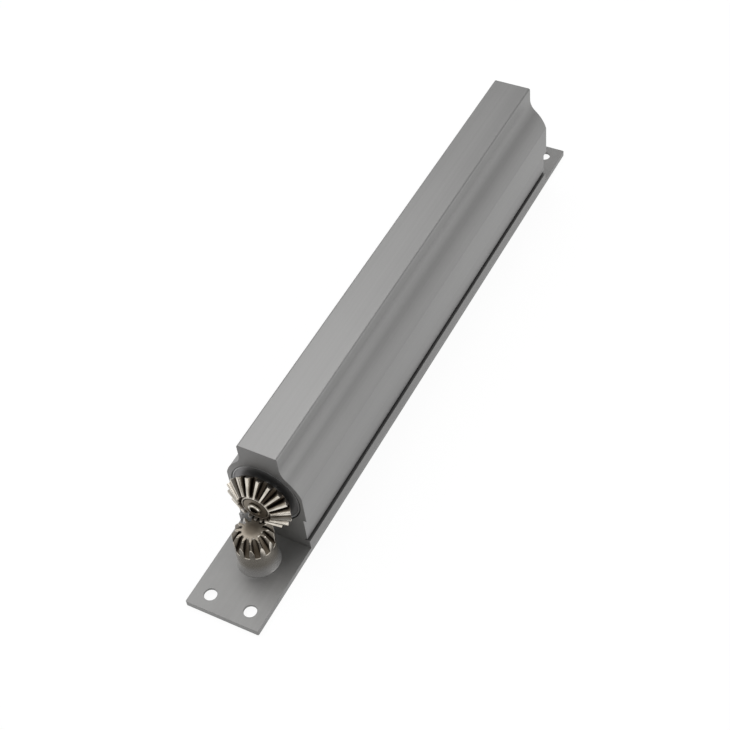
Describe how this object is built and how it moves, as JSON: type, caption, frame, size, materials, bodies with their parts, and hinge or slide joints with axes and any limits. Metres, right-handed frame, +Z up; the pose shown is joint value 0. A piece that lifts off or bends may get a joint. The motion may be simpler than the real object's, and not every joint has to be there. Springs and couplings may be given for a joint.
{
  "type": "concealed door closer",
  "caption": "Spring and hydraulic closer tube in an extruded rail on a drilled mounting plate, driving an upright floor pivot through a pair of bevel gears.",
  "frame": {"origin": "centre of the mounting plate's underside", "axes": "+X along the rail, away from the floor pivot; +Y across the rail; +Z up, from the plate to the rail's neck"},
  "size_m": [0.3606, 0.0408, 0.0673],
  "materials": {
    "rail_aluminium": "satin extruded aluminium, mid grey",
    "plate_steel": "zinc plated flat steel, satin",
    "tube_steel": "drawn steel tube, bright cut end",
    "gear_steel": "nickel plated steel, warm grey, glossy on the tooth lands",
    "machined_steel": "turned steel",
    "bright_screw": "polished steel",
    "dark_fasteners": "blackened steel",
    "spring_steel": "oil tempered spring wire",
    "bronze": "sintered bronze",
    "brass": "turned brass",
    "seal_rubber": "black nitrile rubber"
  },
  "bodies": {
    "closer_body": {"mounting_plate": "plate_steel", "rail_housing": "rail_aluminium", "rail_screws": "dark_fasteners", "closer_tube": "tube_steel", "tube_lock_screws": "dark_fasteners", "pivot_bush": "bronze", "front_thrust_washer": "machined_steel", "front_cap": "machined_steel", "shaft_bush": "bronze", "shaft_seal": "seal_rubber", "guide_pins": "machined_steel", "return_spring": "spring_steel", "cylinder_head": "machined_steel", "rod_seal": "seal_rubber", "head_seal_ring": "seal_rubber", "damper_cylinder": "tube_steel", "rear_plug": "machined_steel", "plug_seal_rings": "seal_rubber", "rear_retaining_ring": "dark_fasteners"},
    "shaft": {"bevel_gear": "gear_steel", "gear_key": "dark_fasteners", "gear_washer": "gear_steel", "gear_screw": "bright_screw", "drive_shaft": "machined_steel", "rear_thrust_washer": "machined_steel"},
    "ball_bearing_cage": {"thrust_balls": "bright_screw", "ball_cage": "brass"},
    "pinion": {"pivot_pinion": "gear_steel", "pinion_circlip": "dark_fasteners"},
    "piston": {"drive_piston": "machined_steel", "damper_rod": "machined_steel", "damper_piston": "machined_steel", "damper_ring": "seal_rubber", "check_disc": "spring_steel", "rod_nut": "machined_steel"},
    "closing_valve": {"closing_speed_screw": "brass"},
    "latching_valve": {"latching_speed_screw": "brass"}
  },
  "joints": [
    {"name": "gear_turn", "type": "hinge", "parent": "closer_body", "child": "shaft", "pos_m": [-0.14497, 0, 0.0367], "axis": [1, 0, 0], "range_deg": [0, 70], "stiffness_Nm_per_rad": 2, "springref_deg": -22.92},
    {"name": "pinion_turn", "type": "hinge", "parent": "closer_body", "child": "pinion", "pos_m": [-0.14497, 0, 0], "axis": [0, 0, 1], "range_deg": [0, 105]},
    {"name": "cage_turn", "type": "hinge", "parent": "closer_body", "child": "ball_bearing_cage", "pos_m": [-0.10498, 0, 0.0367], "axis": [1, 0, 0], "range_deg": [0, 35]},
    {"name": "piston_slide", "type": "slide", "parent": "closer_body", "child": "piston", "axis": [1, 0, 0], "range_m": [0, 0.0121], "deforming": ["return_spring"]},
    {"name": "closing_valve_turn", "type": "hinge", "parent": "closer_body", "child": "closing_valve", "pos_m": [0.14147, 0.007, 0.0367], "axis": [1, 0, 0], "range_deg": [0, 360]},
    {"name": "latching_valve_turn", "type": "hinge", "parent": "closer_body", "child": "latching_valve", "pos_m": [0.14147, -0.007, 0.0367], "axis": [1, 0, 0], "range_deg": [0, 360]}
  ],
  "couplings": [
    {"joint": "pinion_turn", "follows": "gear_turn", "ratio": 1.5},
    {"joint": "cage_turn", "follows": "gear_turn", "ratio": 0.5},
    {"joint": "piston_slide", "follows": "gear_turn", "m_per_rad": 0.0098676}
  ]
}
